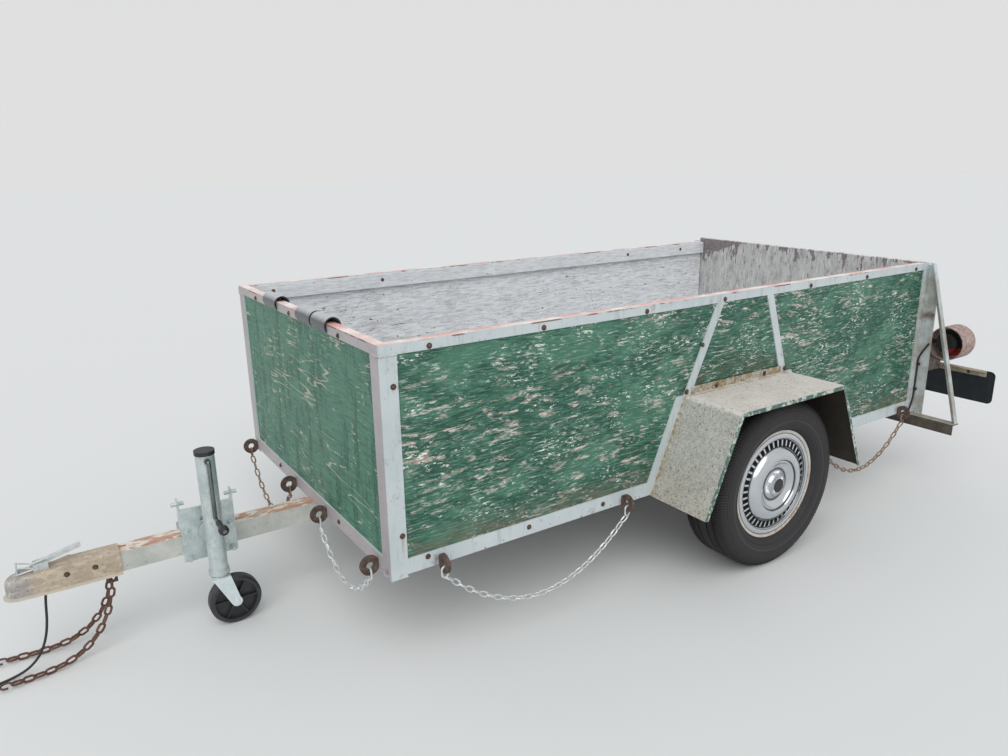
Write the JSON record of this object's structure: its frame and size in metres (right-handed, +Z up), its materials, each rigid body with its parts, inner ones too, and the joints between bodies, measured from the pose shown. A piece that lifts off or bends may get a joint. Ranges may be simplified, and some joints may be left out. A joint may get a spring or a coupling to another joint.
{
  "type": "utility trailer",
  "caption": "Plywood-sided utility trailer in an angle-iron frame, on one leaf-sprung axle with trapezoid fenders, a lift-out tailgate and a swing-up wheeled jack.",
  "frame": {"origin": "on the ground, under the middle of the overall length and width", "axes": "+X to the tail, +Y to the trailer's right side, +Z up"},
  "size_m": [3.5831, 1.705, 0.934],
  "materials": {
    "frame_paint": "worn off-white paint",
    "green_plywood": "worn green paint on plywood",
    "bare_plywood": "weathered grey plywood",
    "fender_sheet": "worn pale paint, rust specks",
    "rusty_steel": "rust",
    "red_lens": "red lens and black body",
    "black_plate": "blank black sheet",
    "black_steel": "black paint and rust",
    "tongue_paint": "worn red primer over silver",
    "coupler_steel": "worn pale steel",
    "zinc_plate": "pale blue zinc plate",
    "bare_steel": "dull bare steel",
    "chain_steel": "zinc-plated chain, one rusty in each pair",
    "black_plastic": "moulded black plastic",
    "black_rubber": "black rubber",
    "tyre_rubber": "tyre rubber",
    "rim_paint": "cream paint, rust at the lip",
    "chrome_cover": "chrome, dull in the dish"
  },
  "bodies": {
    "trailer": {"bottom_side_rails": "frame_paint", "front_bottom_rail": "frame_paint", "top_side_rails": "frame_paint", "front_top_rail": "frame_paint", "front_posts": "frame_paint", "rear_posts": "frame_paint", "floor_crossmembers": "frame_paint", "rear_crossmember": "frame_paint", "lamp_posts": "frame_paint", "lamp_braces": "frame_paint", "fender_braces": "frame_paint", "lamp_arms": "frame_paint", "plate_hanger": "frame_paint", "left_panel": "green_plywood", "right_panel": "green_plywood", "front_panel": "green_plywood", "inner_boards": "bare_plywood", "floor_panel": "bare_plywood", "left_fender": "fender_sheet", "right_fender": "fender_sheet", "lamp_guards": "rusty_steel", "tail_lamps": "red_lens", "number_plate": "black_plate", "axle_beam": "black_steel", "leaf_springs": "black_steel", "spring_hangers": "black_steel", "axle_clamps": "black_steel", "tongue": "tongue_paint", "coupler": "coupler_steel", "coupler_latch": "zinc_plate", "jack_bracket": "zinc_plate", "tie_rings": "rusty_steel", "rail_saddles": "bare_steel", "front_tie_chains": "chain_steel", "left_tie_chains": "chain_steel", "right_tie_chains": "chain_steel", "chain_lugs": "rusty_steel", "safety_chains": "rusty_steel", "cable_grommet": "black_rubber", "wiring_cable": "black_rubber", "wiring_plug": "black_rubber", "lamp_cables": "black_rubber"},
    "left_wheel": {"left_tyre": "tyre_rubber", "left_rim": "rim_paint", "left_wheel_cover": "chrome_cover", "left_wheel_hub": "black_steel"},
    "right_wheel": {"right_tyre": "tyre_rubber", "right_rim": "rim_paint", "right_wheel_cover": "chrome_cover", "right_wheel_hub": "black_steel"},
    "tailgate_board": {"tailgate": "bare_plywood"},
    "jack": {"jack_outer_tube": "zinc_plate", "jack_cap": "black_plastic", "jack_crank": "zinc_plate", "crank_knob": "black_plastic"},
    "jack_leg": {"jack_inner_tube": "zinc_plate"},
    "jack_caster": {"jack_yoke": "zinc_plate"},
    "jack_roller": {"jack_wheel": "black_plastic"}
  },
  "joints": [
    {"name": "left_wheel_spin", "type": "hinge", "parent": "trailer", "child": "left_wheel", "pos_m": [0.486, -0.729, 0.2876], "axis": [0, 1, 0], "continuous": true},
    {"name": "right_wheel_spin", "type": "hinge", "parent": "trailer", "child": "right_wheel", "pos_m": [0.486, 0.729, 0.2876], "axis": [0, 1, 0], "continuous": true},
    {"name": "tailgate_lift", "type": "slide", "parent": "trailer", "child": "tailgate_board", "axis": [0, 0, 1], "range_m": [0, 0.62]},
    {"name": "jack_swing", "type": "hinge", "parent": "trailer", "child": "jack", "pos_m": [-1.148, -0.095, 0.29], "axis": [0, 1, 0], "range_deg": [0, 90]},
    {"name": "jack_extend", "type": "slide", "parent": "jack", "child": "jack_leg", "axis": [0, 0, -1], "range_m": [0, 0.25]},
    {"name": "jack_swivel", "type": "hinge", "parent": "jack_leg", "child": "jack_caster", "pos_m": [-1.148, -0.095, 0.16], "axis": [0, 0, 1], "continuous": true},
    {"name": "jack_wheel_spin", "type": "hinge", "parent": "jack_caster", "child": "jack_roller", "pos_m": [-1.113, -0.095, 0.076], "axis": [0, 1, 0], "continuous": true}
  ]
}
